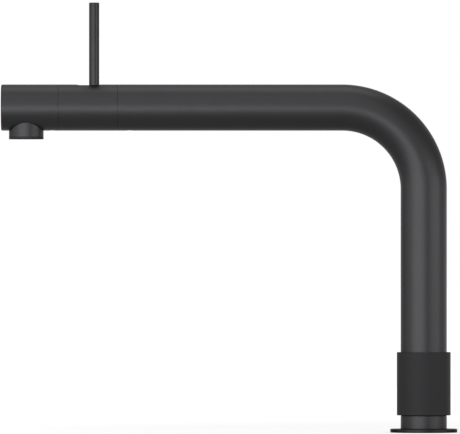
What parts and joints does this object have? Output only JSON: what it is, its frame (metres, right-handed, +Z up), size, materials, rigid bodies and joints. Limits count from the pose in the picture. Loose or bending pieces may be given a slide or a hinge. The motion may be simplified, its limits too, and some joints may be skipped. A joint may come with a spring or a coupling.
{
  "type": "boiling water tap",
  "caption": "Single-hole kitchen tap for cold, hot and boiling water: swivelling round spout, mixer collar with a tilting lever near its end, and a push-and-turn sleeve at the foot.",
  "frame": {"origin": "on the worktop, at the centre of the tap hole, on the column's axis", "axes": "+Z up along the column, -X along the spout towards the nozzle, +Y across"},
  "size_m": [0.3177, 0.05, 0.3857],
  "materials": {
    "satin_black": "satin black coating",
    "soft_black": "fine matte black",
    "brass": "machined",
    "stainless": "brushed",
    "copper": "drawn",
    "rubber": "moulded",
    "acetal": "moulded",
    "ceramic": "lapped"
  },
  "bodies": {
    "base": {"base_flange": "satin_black", "flange_seal": "rubber", "base_column": "satin_black", "position_sensor": "soft_black", "thrust_washer": "acetal", "lower_bush": "acetal", "upper_bush": "acetal", "threaded_shank": "brass", "rubber_pad": "rubber", "clamp_washer": "stainless", "lock_nut": "brass", "return_spring": "stainless"},
    "push_carrier": {"control_carrier": "acetal", "guide_screw": "stainless", "snap_ring": "stainless"},
    "sleeve": {"control_sleeve": "soft_black", "sleeve_magnet": "stainless"},
    "spout": {"spout_tube": "satin_black", "swivel_screw": "stainless", "boiling_pipe": "stainless", "hot_pipe": "copper", "cold_pipe": "copper", "boiling_inlet": "brass", "hot_inlet": "brass", "cold_inlet": "brass", "mixer_core": "brass", "rear_slip_ring": "acetal", "front_slip_ring": "acetal", "core_screw": "stainless", "head_screw": "stainless", "valve_seat": "ceramic", "seat_retainer": "brass", "end_head": "satin_black", "nozzle": "satin_black", "aerator_housing": "satin_black", "aerator_screen": "acetal", "aerator_seal": "rubber", "boiling_outlet": "stainless"},
    "collar": {"mixer_collar": "satin_black", "lever_carrier": "brass", "pivot_pin": "stainless", "carrier_screw": "stainless"},
    "lever": {"lever_rod": "satin_black", "lever_hub": "stainless"},
    "spindle": {"flow_spindle": "stainless", "valve_disc": "ceramic"}
  },
  "joints": [
    {"name": "sleeve_push", "type": "slide", "parent": "base", "child": "push_carrier", "axis": [0, 0, -1], "range_m": [0, 0.004], "stiffness_N_per_m": 1500, "springref_m": -0.002, "deforming": ["return_spring"]},
    {"name": "sleeve_turn", "type": "hinge", "parent": "push_carrier", "child": "sleeve", "pos_m": [0, 0, 0.03], "axis": [0, 0, 1], "range_deg": [0, 90]},
    {"name": "spout_swivel", "type": "hinge", "parent": "base", "child": "spout", "pos_m": [0, 0, 0.05], "axis": [0, 0, 1], "range_deg": [-90, 90]},
    {"name": "collar_turn", "type": "hinge", "parent": "spout", "child": "collar", "pos_m": [-0.2283, 0, 0.225], "axis": [1, 0, 0], "range_deg": [-40, 40]},
    {"name": "lever_tilt", "type": "hinge", "parent": "collar", "child": "lever", "pos_m": [-0.2283, 0, 0.225], "axis": [0, -1, 0], "range_deg": [0, 27]},
    {"name": "spindle_slide", "type": "slide", "parent": "collar", "child": "spindle", "axis": [1, 0, 0], "range_m": [0, 0.0029]}
  ],
  "couplings": [
    {"joint": "spindle_slide", "follows": "lever_tilt", "m_per_rad": 0.006}
  ]
}
